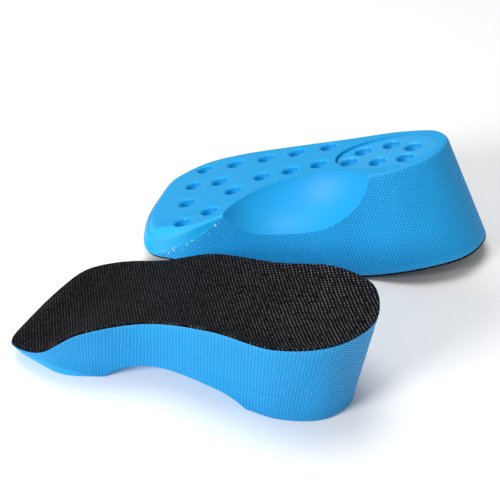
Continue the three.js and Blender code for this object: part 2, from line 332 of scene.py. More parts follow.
class StageSettings(bpy.types.PropertyGroup):
    """Floor, light and camera."""

    floor_colour: FloatVectorProperty(
        name="Floor", description="Plain pale floor", subtype="COLOR", size=3, default=(0.95, 0.95, 0.95)
    )
    azimuth: FloatProperty(
        name="Azimuth", description="Camera's turn", default=math.radians(22.42), subtype="ANGLE"
    )
    elevation: FloatProperty(
        name="Elevation", description="Above the floor", default=math.radians(41.74), subtype="ANGLE"
    )
    distance: FloatProperty(
        name="Distance", description="Camera to target", default=0.5777, unit="LENGTH"
    )
    lens: FloatProperty(name="Lens", description="Focal length in millimetres", default=81.9)
    target: FloatVectorProperty(
        name="Target", description="From the right heel tip's foot", subtype="TRANSLATION", size=3,
        default=(-0.08476, 0.06465, 0.015), unit="LENGTH"
    )


# ---- Node graphs ---------------------------------------------------------------------------------------


class Wire:
    """A node's output that takes part in sums as a number does."""

    def __init__(self, graph, socket):
        self.graph = graph
        self.socket = socket

    def __add__(self, other):
        return self.graph.maths("ADD", self, other)

    def __radd__(self, other):
        return self.graph.maths("ADD", other, self)

    def __sub__(self, other):
        return self.graph.maths("SUBTRACT", self, other)

    def __rsub__(self, other):
        return self.graph.maths("SUBTRACT", other, self)

    def __mul__(self, other):
        return self.graph.maths("MULTIPLY", self, other)

    def __rmul__(self, other):
        return self.graph.maths("MULTIPLY", other, self)

    def __pow__(self, other):
        return self.graph.maths("POWER", self, other)


class Graph:
    """A node tree that is filled by one method for any node, and one for sums."""

    def __init__(self, tree):
        self.tree = tree
        tree.nodes.clear()

    def node(self, kind, settings=None, sockets=None):
        """A new node: its settings are set first, and then its sockets get values or wires."""
        made = self.tree.nodes.new(kind)
        for name, value in (settings or {}).items():
            setattr(made, name, value)
        for key, value in (sockets or {}).items():
            socket = made.inputs[key]
            if isinstance(value, Wire):
                self.tree.links.new(value.socket, socket)
            else:
                socket.default_value = value
        return made

    def wire(self, kind, settings=None, sockets=None, output=0):
        """The chosen output of a new node."""
        return Wire(self, self.node(kind, settings, sockets).outputs[output])

    def maths(self, operation, *values):
        """One Math node over wires and numbers."""
        return self.wire("ShaderNodeMath", {"operation": operation}, dict(enumerate(values)))

    def between(self, value, low, high):
        """A smooth step from 0 at low to 1 at high."""
        settings = {"interpolation_type": "SMOOTHSTEP"}
        sockets = {"Value": value, "From Min": low, "From Max": high}
        return self.wire("ShaderNodeMapRange", settings, sockets)

    def blend(self, share, first, second):
        """A colour between two others, either of them a wire or three numbers."""
        sockets = {0: share, 6: opaque(first), 7: opaque(second)}
        return self.wire("ShaderNodeMix", {"data_type": "RGBA"}, sockets, output=2)

    def noise(self, place, scale, detail=2.0, roughness=0.5):
        """Noise from 0 to 1 over a place."""
        sockets = {"Vector": place, "Scale": scale, "Detail": detail, "Roughness": roughness}
        return self.wire("ShaderNodeTexNoise", {}, sockets)

    def place(self):
        """The place on the object, in metres."""
        return self.wire("ShaderNodeTexCoord", {}, {}, output=3)

    def vector(self, x, y, z):
        """A vector of three wires or numbers."""
        return self.wire("ShaderNodeCombineXYZ", {}, {0: x, 1: y, 2: z})

    def random(self, low, high, seed):
        """A number for each point, from low to high."""
        sockets = {2: low, 3: high, "Seed": seed}
        return self.wire("FunctionNodeRandomValue", {"data_type": "FLOAT"}, sockets, output=1)

    def bump(self, height, strength, distance):
        """A normal that follows a height, at most a distance high."""
        sockets = {"Strength": strength, "Distance": distance, "Height": height}
        return self.wire("ShaderNodeBump", {}, sockets)

    def parts(self, map_name):
        """Both numbers of a UV map, as two wires."""
        flat = self.wire("ShaderNodeUVMap", {"uv_map": map_name})
        split = self.node("ShaderNodeSeparateXYZ", {}, {0: flat})
        return Wire(self, split.outputs[0]), Wire(self, split.outputs[1])


def opaque(colour):
    """A colour with its fourth number. A wire stays as it is."""
    if isinstance(colour, Wire):
        return colour
    return (colour[0], colour[1], colour[2], 1.0)


def darker(colour, share):
    """A share of a colour."""
    return tuple(share * channel for channel in colour)


def new_material(name):
    """An empty material and its graph."""
    material = bpy.data.materials.new(name)
    material.use_nodes = True
    return material, Graph(material.node_tree)


def finish_material(graph, colour, roughness, normal=None, specular=None):
    """Adds the shader and the output. A normal or a specular level that isn't given stays as it was."""
    sockets = {"Base Color": opaque(colour), "Roughness": roughness}
    if normal is not None:
        sockets["Normal"] = normal
    if specular is not None:
        sockets["Specular IOR Level"] = specular
    shader = graph.wire("ShaderNodeBsdfPrincipled", {}, sockets)
    graph.node("ShaderNodeOutputMaterial", {}, {"Surface": shader})


def waves(graph, first, second, parts):
    """A pattern from about 0 to 1, the sum of waves over two coordinates. Each part is how many waves run
    in a metre of the first and of the second coordinate, and how strong they are."""
    total = 0.5
    for along, across, strength in parts:
        turn = first * (CIRCLE * along) + second * (CIRCLE * across)
        total = graph.maths("COSINE", turn) * strength + total
    return total


def wall_material(settings, foot, contrast):
    """Foam moulded against canvas: slanting rows of dots, bumped in, painted lighter on their crowns as
    painted highlight and deeper blue between them as painted shade. The print ends at a slant before the
    toe, with a few whitish scuffs. A fold line runs along the wall, darkened with painted shade on top of
    its bump, and a dark line runs round the toe."""
    material, graph = new_material(foot + "_foam_canvas_wall")
    along, up = graph.parts("surface")
    beyond, wear = graph.parts("zones")
    place = graph.place()
    wander = (graph.noise(place, 120.0, 1.0) - 0.5) * 0.0004
    dots = waves(graph, along + wander, up + wander, CANVAS_WAVES)
    frayed = beyond + (graph.noise(place, 700.0, 2.0) - 0.5) * 0.012
    printed = 1 - graph.between(frayed, -0.004, 0.004)
    # The crowns get painted highlight and the gaps painted shade, more strongly with the foot's relief
    # strength.
    crown = graph.between(dots, 0.22, 0.8) * printed + (1 - printed) * 0.72
    grain = graph.noise(place, 2500.0, 3.0)
    cloud = graph.noise(place, 45.0, 2.0)
    tone = 1 - (1 - crown) * contrast + (cloud - 0.5) * 0.22 + (grain - 0.5) * 0.12
    colour = graph.blend(tone, settings.gap_shade_colour, settings.crown_highlight_colour)
    worn = graph.blend(wear * (0.2 + grain * 0.5), colour, settings.worn_colour)
    band = 1 - graph.between(graph.maths("ABSOLUTE", beyond + 0.008), 0.004, 0.022)
    scuff = graph.between(graph.noise(place, 620.0, 2.0), 0.6, 0.68) * band
    scuffed = graph.blend(scuff * SCUFF_STRENGTHS[foot], worn, settings.scuff_colour)
    bend = (graph.noise(place, 30.0, 1.0) - 0.5) * 0.003
    fold = 1 - graph.between(graph.maths("ABSOLUTE", up - 0.019 + bend), 0.0001, 0.0005)
    fold = fold * graph.between(graph.noise(place, 26.0, 1.0), 0.5, 0.62)
    rim = 1 - graph.between(graph.maths("ABSOLUTE", up + 0.0003), 0.0002, 0.0007)
    rim = rim * graph.between(beyond, 0.17, 0.22)
    # The fold line's darkening is painted shade in its crease; the toe line takes the same dark colour.
    line = graph.maths("MAXIMUM", fold * 0.4, rim * 0.7)
    lined = graph.blend(line, scuffed, settings.gap_shade_colour)
    relief = dots * printed + (grain - 0.5) * 0.12 - line * 0.8
    normal = graph.bump(relief, contrast, settings.relief_height)
    roughness = 0.58 - crown * 0.08 + (cloud - 0.5) * 0.1
    finish_material(graph, lined, roughness, normal, FOAM_SHEEN)
    return material


def skin_material(settings):
    """Smooth foam skin of the sole: fine grain, the canvas only just showing through in its bump and in
    faint painted highlight and shade, with small glints of painted highlight.
    """
    material, graph = new_material("foam_smooth_skin")
    along, across = graph.parts("surface")
    place = graph.place()
    dots = waves(graph, along, across, CANVAS_WAVES)
    grain = graph.noise(place, 1900.0, 3.0)
    cloud = graph.noise(place, 38.0, 3.0)
    # The faint canvas dots lighten and darken the tone as painted highlight and shade.
    tone = 0.5 + (cloud - 0.5) * 0.5 + (grain - 0.5) * 0.25 + (dots - 0.5) * 0.22
    colour = graph.blend(tone, darker(settings.skin_colour, 0.82), settings.skin_colour)
    # Painted highlight: small glints scattered over the sole.
    glint = graph.between(graph.noise(place, 520.0, 2.0), 0.71, 0.76) * 0.5
    glinted = graph.blend(glint, colour, settings.glint_colour)
    normal = graph.bump(dots * 0.4 + grain * 0.3, 0.5, 0.00015)
    finish_material(graph, glinted, 0.52 + (cloud - 0.5) * 0.16, normal, FOAM_SHEEN)
    return material


def scoop_material(settings):
    """Satin foam of the arch hollow, with faint arcs left by the cutter."""
    material, graph = new_material("foam_satin_arch")
    around, out = graph.parts("surface")
    place = graph.place()
    brushed = graph.noise(graph.vector(around * 9.0, out * 900.0, 0.0), 1.0, 4.0, 0.6)
    cloud = graph.noise(place, 40.0, 2.0)
    tone = 0.5 + (brushed - 0.5) * 1.1 + (cloud - 0.5) * 0.5
    colour = graph.blend(tone, darker(settings.skin_colour, 0.85), settings.scoop_colour)
    normal = graph.bump(brushed, 0.7, 0.00015)
    finish_material(graph, colour, 0.48 + (brushed - 0.5) * 0.15, normal, 0.3)
    return material


def hole_material(settings, name):
    """Foam inside the holes: the skin's colour at the mouth, darkened with painted shade towards the
    bottom.
    """
    material, graph = new_material(name)
    depth, _ = graph.parts("zones")
    place = graph.place()
    grain = graph.noise(place, 1500.0, 3.0)
    cloud = graph.noise(place, 260.0, 2.0)
    # Painted shade: the deeper into the hole, the darker the colour.
    shade = graph.between(depth + (cloud - 0.5) * 0.2, 0.03, 0.25)
    colour = graph.blend(shade, settings.skin_colour, darker(settings.gap_shade_colour, 0.12))
    normal = graph.bump(cloud + grain * 0.3, 0.5, 0.0002)
    finish_material(graph, colour, 0.5 + (grain - 0.5) * 0.2, normal)
    return material


def pad_material(settings):
    """Softer foam of the heel pad, finer and a little glossier."""
    material, graph = new_material("pad_soft_foam")
    place = graph.place()
    grain = graph.noise(place, 2200.0, 3.0)
    cloud = graph.noise(place, 60.0, 3.0)
    tone = 0.4 + (cloud - 0.5) * 0.9 + (grain - 0.5) * 0.3
    colour = graph.blend(tone, darker(settings.colour, 0.85), settings.colour)
    normal = graph.bump(grain + cloud * 0.6, 0.4, 0.0001)
    finish_material(graph, colour, 0.42 + (cloud - 0.5) * 0.2, normal, 0.5)
    return material


def weave_material(settings):
    """Black woven cloth: the crown of each yarn is painted lighter where it catches light, a painted
    highlight that grows stronger over the heel.
    """
    material, graph = new_material("cover_black_weave")
    along, across = graph.parts("surface")
    place = graph.place()
    wander = (graph.noise(place, 200.0, 1.0) - 0.5) * 0.0005
    crowns = waves(graph, along + wander, across + wander, WEAVE_WAVES)
    fibre = graph.noise(place, 4200.0, 3.0, 0.6)
    cloud = graph.noise(place, 40.0, 3.0)
    each = graph.noise(place, 520.0, 1.0)
    # Painted highlight: the flecks grow brighter towards the heel.
    heel_highlight = 0.75 + graph.between(along, -0.11, -0.03) * 0.7
    fleck = graph.between(crowns, 0.55, 0.95) * graph.between(each, 0.2, 0.7)
    shown = fleck * (0.35 + cloud * 0.8) * heel_highlight + (fibre - 0.5) * 0.05
    colour = graph.blend(shown, settings.ground_colour, settings.fleck_colour)
    normal = graph.bump(crowns + fibre * 0.3, 1.0, 0.0005)
    finish_material(graph, colour, 0.75 - fleck * 0.15, normal, 0.04)
    return material


def tuft_material(settings):
    """Cut yarn ends along the cover's edge."""
    material, graph = new_material("cover_cut_yarn")
    place = graph.place()
    fibre = graph.noise(place, 3800.0, 3.0, 0.6)
    dust = darker(settings.fleck_colour, 0.4)
    colour = graph.blend(graph.between(fibre, 0.45, 0.8), settings.ground_colour, dust)
    finish_material(graph, colour, 0.7, graph.bump(fibre, 0.7, 0.0001))
    return material


# ---- The insole's surfaces, in its own frame: heel tip at the origin, toe towards -X, sole on the floor --


def smooth_step(values, low, high):
    """A smooth step from 0 at low to 1 at high, for arrays."""
    share = np.clip((values - low) / (high - low), 0, 1)
    return share * share * (3 - 2 * share)


def closed_spline(knots, pieces=40):
    """A closed centripetal curve through the knots, finely divided."""
    count = len(knots)
    points = []
    for index in range(count):
        p0, p1, p2, p3 = (knots[(index + shift) % count] for shift in (-1, 0, 1, 2))
        d0, d1, d2 = (max(np.linalg.norm(b - a) ** 0.5, 1e-9) for a, b in ((p0, p1), (p1, p2), (p2, p3)))
        leave = ((p1 - p0) / d0 - (p2 - p0) / (d0 + d1) + (p2 - p1) / d1) * d1
        arrive = ((p2 - p1) / d1 - (p3 - p1) / (d1 + d2) + (p3 - p2) / d2) * d1
        t = np.linspace(0, 1, pieces, endpoint=False)[:, None]
        square = t * t
        cube = square * t
        points.append(
            p1 * (2 * cube - 3 * square + 1)
            + leave * (cube - 2 * square + t)
            + p2 * (3 * square - 2 * cube)
            + arrive * (cube - square)
        )
    return np.concatenate(points)


def evenly_spaced(points, count):
    """The same number of points, evenly spaced along a closed line."""
    closed = np.vstack([points, points[:1]])
    steps = np.linalg.norm(np.diff(closed, axis=0), axis=1)
    travelled = np.concatenate([[0], np.cumsum(steps)])
    wanted = np.linspace(0, travelled[-1], count, endpoint=False)
    return np.stack([np.interp(wanted, travelled, closed[:, axis]) for axis in range(3)], axis=1)


class Outline:
    """The rim of one insole and the surfaces that hang on it."""

    def __init__(self, shape, cover, count):
        self.shape = shape
        self.count = count
        self.foam_drop = cover.thickness + cover.glue_line
        rise = shape.heel_height - shape.toe_thickness
        reach = {
            "heel": shape.heel_width / 2,
            "outer": shape.outer_reach,
            "inner": shape.inner_reach,
            "waist": shape.waist_reach,
        }
        knots = [
            np.array([-along * shape.length, across * reach[part], shape.toe_thickness + up * rise])
            for along, across, part, up in RIM_KNOTS
        ]
        self.middle = np.array([-shape.length / 2, 0.0])
        self.rim = evenly_spaced(closed_spline(knots), count)
        before = np.roll(self.rim, 1, axis=0)
        after = np.roll(self.rim, -1, axis=0)
        inward = np.stack([before[:, 1] - after[:, 1], after[:, 0] - before[:, 0]], axis=1)
        self.inward = inward / np.linalg.norm(inward, axis=1)[:, None]
        toe_low, toe_high = (share * shape.length for share in TOE_SHARES)
        self.toe_share = smooth_step(-self.rim[:, 0], toe_low, toe_high)
        outset = shape.waist_reach + shape.arch_outset
        self.arch_middle = (-shape.arch_place * shape.length, -outset, -shape.arch_sink)
        self.arch_reach = tuple(shape.arch_reach)
        inner = smooth_step(-self.rim[:, 1], 0.0, 0.6 * shape.inner_reach)
        soft = shape.sole_edge + shape.toe_softness * self.toe_share * inner
        self.edge = np.minimum(soft, EDGE_LIMIT * (self.rim[:, 2] - self.foam_drop))
        near = np.minimum(np.abs(self.rim[:, 0] - self.arch_middle[0]) / self.arch_reach[0], 1)
        beside = np.where(self.rim[:, 1] < 0, np.cos(near * math.pi / 2) ** 2, 0)
        lean = shape.wall_lean + (shape.arch_lean - shape.wall_lean) * beside
        inset = lean * self.rim[:, 2] + shape.toe_bevel * self.toe_share
        self.foot = self.rim.copy()
        self.foot[:, 2] = 0
        self.foot[:, :2] += self.inward * inset[:, None]
        steps = np.linalg.norm(np.diff(np.vstack([self.rim, self.rim[:1]]), axis=0), axis=1)
        self.travelled = np.concatenate([[0], np.cumsum(steps)])
        self.sides = {}
        for side in (-1, 1):
            points = self.rim[np.sign(self.rim[:, 1]) == side]
            self.sides[side] = points[np.argsort(points[:, 0])]

    def wall(self, height):
        """The wall's ring at a height, one number or one for each rim point."""
        share = (height / self.rim[:, 2])[:, None]
        return self.foot + (self.rim - self.foot) * share

    def below_rim(self, drop):
        """The wall's ring that lies the drop below the rim."""
        return self.wall(self.rim[:, 2] - drop)

    def inset(self, ring, distance):
        """A ring moved inwards, level with the floor."""
        moved = ring.copy()
        moved[:, :2] += self.inward * np.broadcast_to(distance, self.count)[:, None]
        return moved

    def print_border(self, height):
        """How far the wall at a height lies beyond the end of the canvas print, as a share of length. The
        print ends at a slant: sooner along the sole than along the rim."""
        share = np.clip(height / self.rim[:, 2], 0.0, 1.0)
        return -self.rim[:, 0] / self.shape.length - PRINT_END - PRINT_SLANT * share**0.7

    def cup(self, edge, share, drop):
        """Points of the upper face on the way from the middle to outline points, lowered by the drop."""
        plan = self.middle + (edge[:, :2] - self.middle) * share
        inner = self.sides[-1]
        outer = self.sides[1]
        x, y = plan[:, 0], plan[:, 1]
        inner_y = np.interp(x, inner[:, 0], inner[:, 1])
        inner_z = np.interp(x, inner[:, 0], inner[:, 2])
        outer_y = np.interp(x, outer[:, 0], outer[:, 1])
        outer_z = np.interp(x, outer[:, 0], outer[:, 2])
        level = inner_z + (outer_z - inner_z) * (y - inner_y) / (outer_y - inner_y)
        along = np.clip(-x / self.shape.length, 0, 1)
        sink = self.shape.cup_depth * np.cos(along * math.pi / 2) ** 0.7
        return np.column_stack([plan, level - sink * (1 - share**3) - drop])

    def foam_height(self, x, y):
        """Height of the foam's upper face above a point of the sole."""
        ray = np.array([x, y]) - self.middle
        directions = self.rim[:, :2] - self.middle
        lengths = np.linalg.norm(directions, axis=1)
        nearest = int(np.argmax(directions @ ray / lengths))
        share = np.linalg.norm(ray) / lengths[nearest]
        return float(self.cup(self.rim[nearest : nearest + 1], share, self.foam_drop)[0, 2])


class Skin:
    """A closed skin over rings that run anticlockwise, from a first point out and up to a last point. Where
    two maps meet at a ring, starts holds the map of the strip above it."""

    def __init__(self, count):
        self.count = count
        self.rings = []
        self.maps = []
        self.starts = {}
        self.zones = []
        self.kinds = []

    def add(self, ring, flat, zone, kind):
        """One more ring, with its map, its zone numbers, and the material of the strip that leads to it."""
        self.rings.append(ring)
        self.maps.append(flat)
        self.zones.append(zone)
        self.kinds.append(kind)

    def add_plain(self, ring, kind):
        """One more ring, mapped as seen from above and outside every zone."""
        self.add(ring, plan_map(ring), np.zeros((self.count + 1, 2)), kind)

    def mesh(self, name, first, last, last_kind):
        """The mesh, with its UV maps surface and zones."""
        count = self.count
        points = np.vstack([first, *self.rings, last])
        end = len(points) - 1
        faces, kinds, flats, zones = [], [], [], []
        for i in range(count):
            after = (i + 1) % count
            faces.append((0, 1 + after, 1 + i))
            kinds.append(self.kinds[0])
            flats += [first[:2], self.maps[0][i + 1], self.maps[0][i]]
            zones += [(0, 0), self.zones[0][i + 1], self.zones[0][i]]
        for ring in range(len(self.rings) - 1):
            low = 1 + ring * count
            for i in range(count):
                after = (i + 1) % count
                faces.append((low + i, low + after, low + count + after, low + count + i))
                kinds.append(self.kinds[ring + 1])
                lower = self.starts.get(ring, self.maps[ring])
                upper = self.maps[ring + 1]
                flats += [lower[i], lower[i + 1], upper[i + 1], upper[i]]
                lower = self.zones[ring]
                upper = self.zones[ring + 1]
                zones += [lower[i], lower[i + 1], upper[i + 1], upper[i]]
        for i in range(count):
            after = (i + 1) % count
            faces.append((end, end - count + i, end - count + after))
            kinds.append(last_kind)
            flats += [last[:2], self.maps[-1][i], self.maps[-1][i + 1]]
            zones += [(0, 0), self.zones[-1][i], self.zones[-1][i + 1]]
        mesh = bpy.data.meshes.new(name)
        mesh.from_pydata([tuple(p) for p in points], [], faces)
        mesh.polygons.foreach_set("material_index", kinds)
        set_map(mesh, "surface", flats)
        set_map(mesh, "zones", zones)
        mesh.update()
        return mesh


def set_map(mesh, name, values):
    """Writes one UV map, corner by corner."""
    layer = mesh.uv_layers.new(name=name)
    layer.uv.foreach_set("vector", np.array(values, float).astype(np.float32).ravel())


def around(values):
    """Values round a ring, with the first repeated at the end."""
    return np.concatenate([values, values[:1]])


def plan_map(ring):
    """A map that is the view from above."""
    return around(ring[:, :2])


def foam_skin(outline):
    """The closed outer skin of the foam body, before anything is cut from it."""
    shape = outline.shape
    count = outline.count
    skin = Skin(count)
    zero = np.zeros(count + 1)
    toe = around(outline.print_border(0.0))
    radius = outline.edge
    floor_ring = outline.inset(outline.wall(0.0), radius)
    centre = np.array([outline.middle[0], 0.0, 0.0])
    for share in SOLE_SHARES:
        ring = centre + (floor_ring - centre) * share
        skin.add(ring, plan_map(ring), np.column_stack([toe, zero]), SKIN_SLOT)
    slant = np.linalg.norm(outline.rim - outline.foot, axis=1)
    along = outline.travelled
    for step in range(1, SOLE_EDGE_STEPS + 1):
        angle = math.pi / 2 * step / SOLE_EDGE_STEPS
        height = radius * (1 - math.cos(angle))
        ring = outline.inset(outline.wall(height), radius * (1 - math.sin(angle)))
        flat = np.column_stack([along, around(radius * (angle - 1))])
        border = around(outline.print_border(height))
        wear = zero + 0.25 * math.sin(math.pi * step / SOLE_EDGE_STEPS)
        skin.add(ring, flat, np.column_stack([border, wear]), WALL_SLOT)
        if step == 1:
            skin.starts[len(skin.rings) - 2] = np.column_stack([along, around(-radius)])
    top = outline.rim[:, 2] - outline.foam_drop
    for row in range(1, WALL_ROWS + 1):
        share = row / WALL_ROWS
        height = radius + (top - radius) * share
        ring = outline.wall(height)
        rise = around(slant * height / outline.rim[:, 2] + radius * (math.pi / 2 - 2))
        border = around(outline.print_border(height))
        wear = zero + max(0.0, share - 0.93) * 5
        skin.add(ring, np.column_stack([along, rise]), np.column_stack([border, wear]), WALL_SLOT)
    for share in CUP_SHARES:
        ring = outline.cup(outline.rim, share, outline.foam_drop)
        skin.add(ring, plan_map(ring), np.column_stack([toe, zero]), SKIN_SLOT)
    last = outline.cup(outline.rim[:1], 0.0, outline.foam_drop)[0]
    return skin.mesh("foam_skin", centre, last, SKIN_SLOT)


def cover_skin(outline, thickness):
    """The woven cover as a closed thin skin with a soft edge."""
    skin = Skin(outline.count)
    for share in reversed(CUP_SHARES):
        skin.add_plain(outline.cup(outline.rim, share, thickness), 0)
    tuck = CLOTH_TUCK + TOE_TUCK * outline.toe_share
    for up, inwards in COVER_EDGE:
        skin.add_plain(outline.inset(outline.below_rim(thickness * (1 - up)), inwards + tuck), 0)
    for share in CUP_SHARES:
        skin.add_plain(outline.cup(outline.rim, share, 0.0), 0)
    first = outline.cup(outline.rim[:1], 0.0, thickness)[0]
    last = outline.cup(outline.rim[:1], 0.0, 0.0)[0]
    return skin.mesh("cover_skin", first, last, 0)


def oval(pad, shape, shrink, count):
    """Points of the heel pad's outline in plan, its centre and its half width."""
    inset = shape.wall_lean * shape.heel_height + pad.border
    half_width = (shape.heel_width - 2 * inset) / 2
    centre = np.array([-(inset + pad.length / 2), PAD_OUTWARDS * shape.heel_width])
    angles = np.linspace(0, CIRCLE, count, endpoint=False)
    flat = np.column_stack([
        (pad.length / 2 - shrink) * np.cos(angles),
        (half_width - shrink) * np.sin(angles),
    ])
    turn = np.array([
        [math.cos(pad.turn), -math.sin(pad.turn)],
        [math.sin(pad.turn), math.cos(pad.turn)],
    ])
    return centre + flat @ turn.T, centre, half_width


def toeward(pad, shape, points):
    """0 at the pad's heel end, 1 towards its toe end."""
    inset = shape.wall_lean * shape.heel_height + pad.border
    return smooth_step(-points[:, 0], inset + pad.length * 0.15, inset + pad.length * 0.85)


def pad_depth(pad, shape, points):
    """How far the pad's face lies inside the sole: a step on the toe side, level with it at the heel."""
    return pad.step * (0.04 + 0.96 * toeward(pad, shape, points))


def pad_skin(pad, shape):
    """The heel pad as a closed skin with a soft edge round its face. Its seam closes towards the heel."""
    count = OVAL_POINTS
    skin = Skin(count)
    top = pad.step + pad.thickness
    full, centre, _ = oval(pad, shape, 0.0, count)
    share = toeward(pad, shape, full)
    gap = pad.gap * (0.1 + 0.9 * share)
    soft = 0.0002 + 0.0006 * share
    whole = oval(pad, shape, gap, count)[0]
    for part in PAD_SHARES:
        plan = centre + (whole - centre) * part
        skin.add_plain(np.column_stack([plan, pad_depth(pad, shape, plan)]), 0)
    for step in range(PAD_EDGE_STEPS + 1):
        angle = math.pi / 2 * step / PAD_EDGE_STEPS
        plan = oval(pad, shape, gap + soft * (1 - math.sin(angle)), count)[0]
        depth = pad_depth(pad, shape, plan) + soft * (1 - math.cos(angle))
        skin.add_plain(np.column_stack([plan, depth]), 0)
    low = pad_depth(pad, shape, whole) + soft
    for part in (0.5, 1.0):
        skin.add_plain(np.column_stack([whole, low + (top - low) * part]), 0)
    first = np.array([centre[0], centre[1], pad_depth(pad, shape, centre[None])[0]])
    last = np.array([centre[0], centre[1], top])
    return skin.mesh("pad_skin", first, last, 0)


def recess_skin(pad, shape):
    """The block that is cut from the foam for the pad."""
    skin = Skin(OVAL_POINTS)
    top = pad.step + pad.thickness + pad.gap
    plan, centre, _ = oval(pad, shape, 0.0, OVAL_POINTS)
    for height in (-CUT_MARGIN, top):
        skin.add_plain(np.column_stack([plan, np.full(OVAL_POINTS, height)]), SKIN_SLOT)
    first = np.array([centre[0], centre[1], -CUT_MARGIN])
    last = np.array([centre[0], centre[1], top])
    return skin.mesh("recess", first, last, SKIN_SLOT)


def arch_skin(outline, reach):
    """The ellipsoid that hollows the arch. Its map gives the turn and the distance from its pole."""
    count = ARCH_POINTS
    skin = Skin(count)
    middle = np.array(outline.arch_middle)
    reach = np.array(reach)
    turns = np.linspace(0, CIRCLE, count, endpoint=False)
    for level in range(1, ARCH_LEVELS):
        down = math.pi * (1 - level / ARCH_LEVELS)
        ring = np.column_stack([
            np.sin(down) * np.cos(turns),
            np.sin(down) * np.sin(turns),
            np.full(count, math.cos(down)),
        ])
        flat = np.column_stack([
            np.linspace(0, CIRCLE, count + 1),
            np.full(count + 1, down * 0.03),
        ])
        skin.add(middle + ring * reach, flat, np.zeros((count + 1, 2)), SCOOP_SLOT)
    first = middle - reach * (0, 0, 1)
    last = middle + reach * (0, 0, 1)
    return skin.mesh("arch", first, last, SCOOP_SLOT)


# ---- Places of both insoles ----------------------------------------------------------------------------


def node_triangles(name):
    """Corners of a node's triangles, as an array of triangles of points."""
    mesh = frame["nodes"][name].data
    mesh.calc_loop_triangles()
    points = np.array([v.co for v in mesh.vertices], float)
    corners = np.array([t.vertices for t in mesh.loop_triangles], int)
    return points[corners]


def face_centre(triangles):
    """Middle of a node's surface, by area."""
    area = np.linalg.norm(
        np.cross(triangles[:, 1] - triangles[:, 0], triangles[:, 2] - triangles[:, 0]), axis=1
    )
    return (triangles.mean(axis=1) * area[:, None]).sum(axis=0) / area.sum()


def turn_between(before, after):
    """The rotation and the shift that bring one set of points onto another."""
    from_middle = before.mean(axis=0)
    to_middle = after.mean(axis=0)
    u, _, vt = np.linalg.svd((before - from_middle).T @ (after - to_middle))
    flip = np.diag([1, 1, np.sign(np.linalg.det(vt.T @ u.T))])
    rotation = vt.T @ flip @ u.T
    return rotation, to_middle - rotation @ from_middle


def insole_places():
    """The matrix that takes the right insole's own frame to each foot's place. The left one mirrors it."""
    cover = node_triangles("right_top_cover").reshape(-1, 3)
    tip = cover[np.argmax(cover[:, 0])]
    right = Matrix.Translation((tip[0], tip[1], 0.0))
    mirror = np.array([1.0, 1.0, -1.0])
    landmarks = {}
    for foot in FEET:
        covered = face_centre(node_triangles(foot + "_top_cover"))
        padded = face_centre(node_triangles(foot + "_heel_pad"))
        landmarks[foot] = np.array([covered, padded, SOLE_SPOTS[foot]])
    rotation, shift = turn_between(landmarks["right"] * mirror, landmarks["left"])
    source = np.unique(np.round(cover * mirror, 7), axis=0)
    target = np.unique(np.round(node_triangles("left_top_cover").reshape(-1, 3), 7), axis=0)
    tree = KDTree(len(target))
    for index, point in enumerate(target):
        tree.insert(Vector(point), index)
    tree.balance()
    for _ in range(3):
        moved = source @ rotation.T + shift
        nearest = np.array([target[tree.find(Vector(point))[1]] for point in moved])
        rotation, shift = turn_between(source, nearest)
    moved = source @ rotation.T + shift
    apart = max(tree.find(Vector(point))[2] for point in moved)
    if apart > MIRROR_TOLERANCE:
        raise RuntimeError("the left insole isn't the mirror image of the right one")
    left = Matrix.Identity(4)
    for row in range(3):
        for column in range(3):
            left[row][column] = rotation[row, column] * mirror[column]
        left[row][3] = shift[row]
    return {"right": right, "left": left @ right}


PLACES = insole_places()


# ---- Objects -------------------------------------------------------------------------------------------


def new_object(name, mesh):
    """An object in the scene at the origin."""
    made = bpy.data.objects.new(name, mesh)
    bpy.context.scene.collection.objects.link(made)
    return made


def plain_mesh(source, name):
    """The evaluated mesh of an object, as a mesh of its own."""
    graph = bpy.context.evaluated_depsgraph_get()
    mesh = bpy.data.meshes.new_from_object(source.evaluated_get(graph))
    mesh.name = name
    return mesh


def remove(*objects):
    """Takes helper objects out of the scene."""
    for helper in objects:
        bpy.data.objects.remove(helper, do_unlink=True)


def cut(body, *cutters):
    """The mesh of the body with each cutter taken away."""
    for cutter in cutters:
        step = body.modifiers.new("cut", "BOOLEAN")
        step.operation = "DIFFERENCE"
        step.solver = "MANIFOLD"
        step.object = cutter
        cutter.hide_render = True
    mesh = plain_mesh(body, body.name)
    if len(mesh.polygons) == 0:
        raise RuntimeError("cutting " + body.name + " left nothing")
    body.modifiers.clear()
    return mesh


def placed_piece(mesh, name, foot, degrees):
    """An object with a copy of a mesh from an insole's own frame, at the place of one foot. It is shaded
    smooth, with sharp edges only above an angle."""
    copy = mesh.copy()
    copy.name = name
    copy.transform(PLACES[foot])
    if PLACES[foot].determinant() < 0:
        copy.flip_normals()
    copy.shade_smooth()
    copy.set_sharp_from_angle(angle=math.radians(degrees))
    return new_object(name, copy)


def shape_settings():
    """The settings of the shape, the foam, the pad and the cover."""
    scene = bpy.context.scene
    return scene.insole_shape, scene.insole_foam, scene.insole_pad, scene.insole_cover


# ---- Geometry Nodes ------------------------------------------------------------------------------------


def new_tree(name, sockets):
    """A Geometry Nodes tree with named inputs, and its graph."""
    tree = bpy.data.node_groups.new(name, "GeometryNodeTree")
    tree.interface.new_socket("Geometry", in_out="INPUT", socket_type="NodeSocketGeometry")
    for label, kind in sockets:
        tree.interface.new_socket(label, in_out="INPUT", socket_type="NodeSocket" + kind)
    tree.interface.new_socket("Geometry", in_out="OUTPUT", socket_type="NodeSocketGeometry")
    return tree, Graph(tree)


def tree_inputs(graph):
    """The tree's inputs by name."""
    node = graph.node("NodeGroupInput")
    return {socket.name: Wire(graph, socket) for socket in node.outputs if socket.name}


